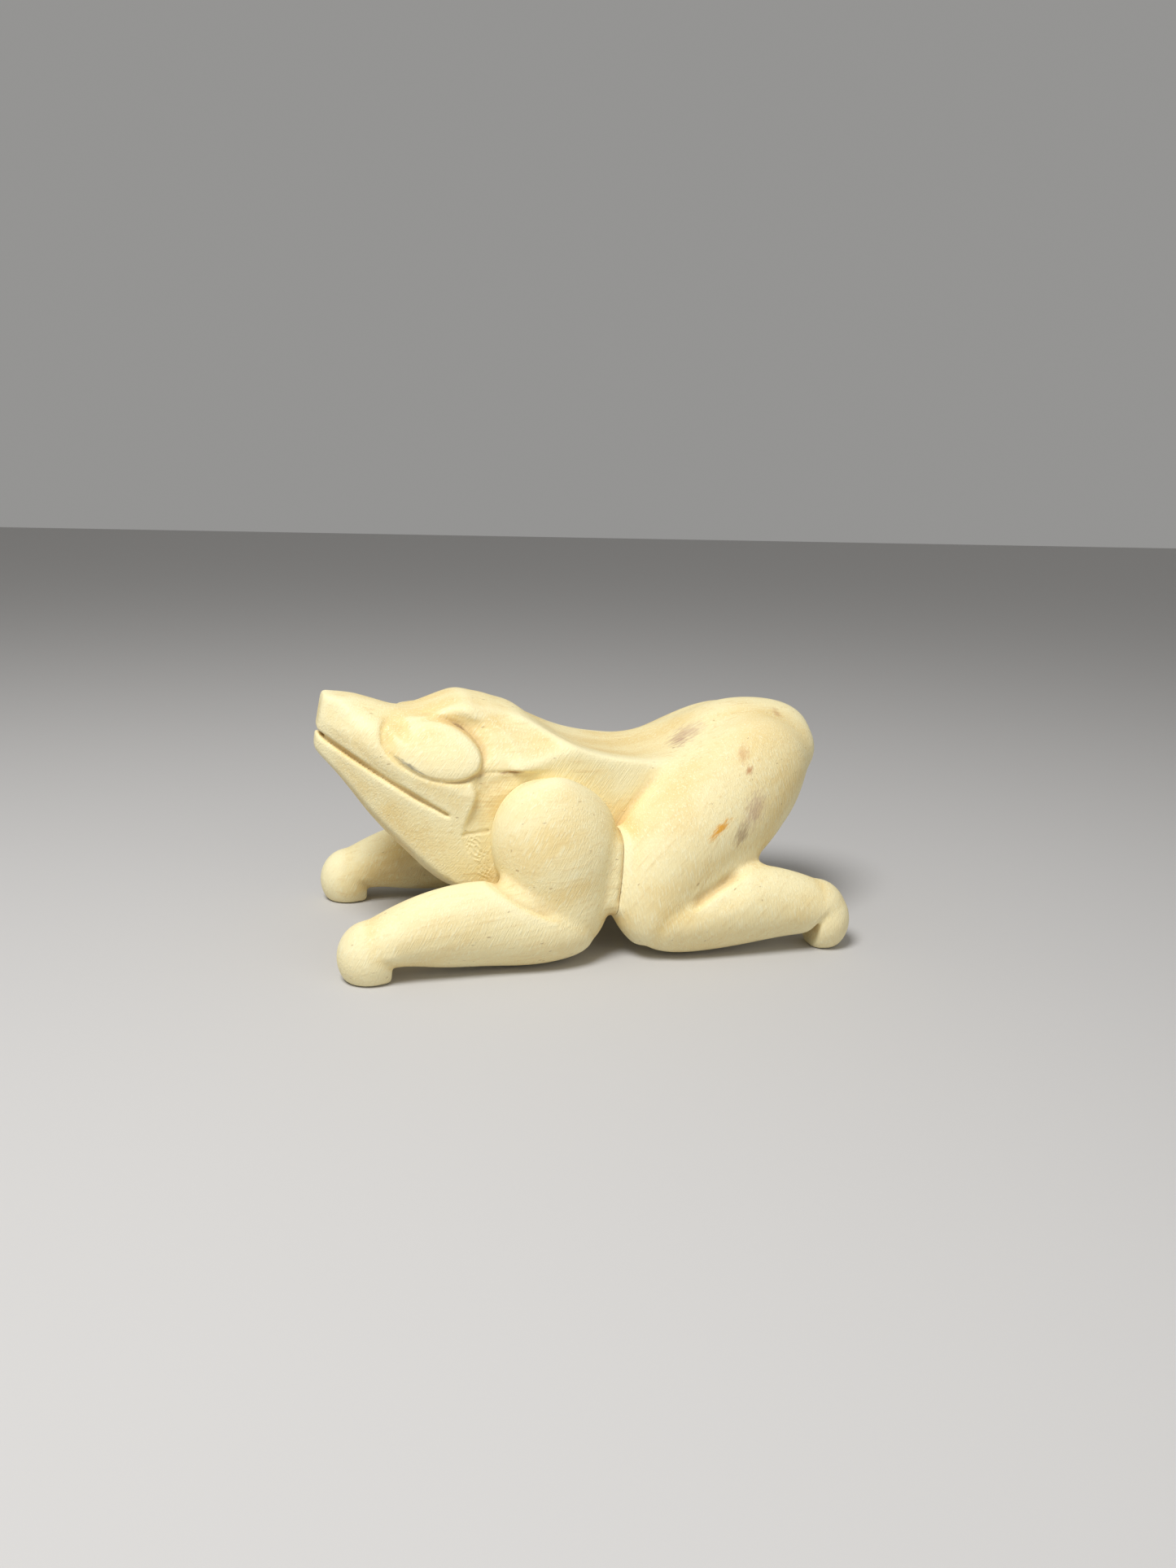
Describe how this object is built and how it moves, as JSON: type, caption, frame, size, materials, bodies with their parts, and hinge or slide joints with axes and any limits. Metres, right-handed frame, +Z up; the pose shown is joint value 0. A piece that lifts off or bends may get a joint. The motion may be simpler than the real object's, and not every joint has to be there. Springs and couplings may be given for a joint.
{
  "type": "carved wooden frog figure",
  "caption": "Unpainted carved wooden frog figure that stands on its soles as a shelf ornament or a blank to paint.",
  "frame": {"origin": "centre of the figure's footprint on the plane it stands on", "axes": "+Z up, the frog faces -Y, its left side is +X"},
  "size_m": [0.0888, 0.153, 0.0738],
  "materials": {
    "copal_wood": "bare, knife carved and sanded, matte",
    "peg_wood": "bare turned dowel, matte"
  },
  "bodies": {
    "root": {"body": "copal_wood", "front_leg_left": "copal_wood", "front_leg_right": "copal_wood", "hind_leg_left": "copal_wood", "hind_leg_right": "copal_wood", "front_peg_left": "peg_wood", "front_peg_right": "peg_wood", "hind_peg_left": "peg_wood", "hind_peg_right": "peg_wood"}
  },
  "joints": []
}
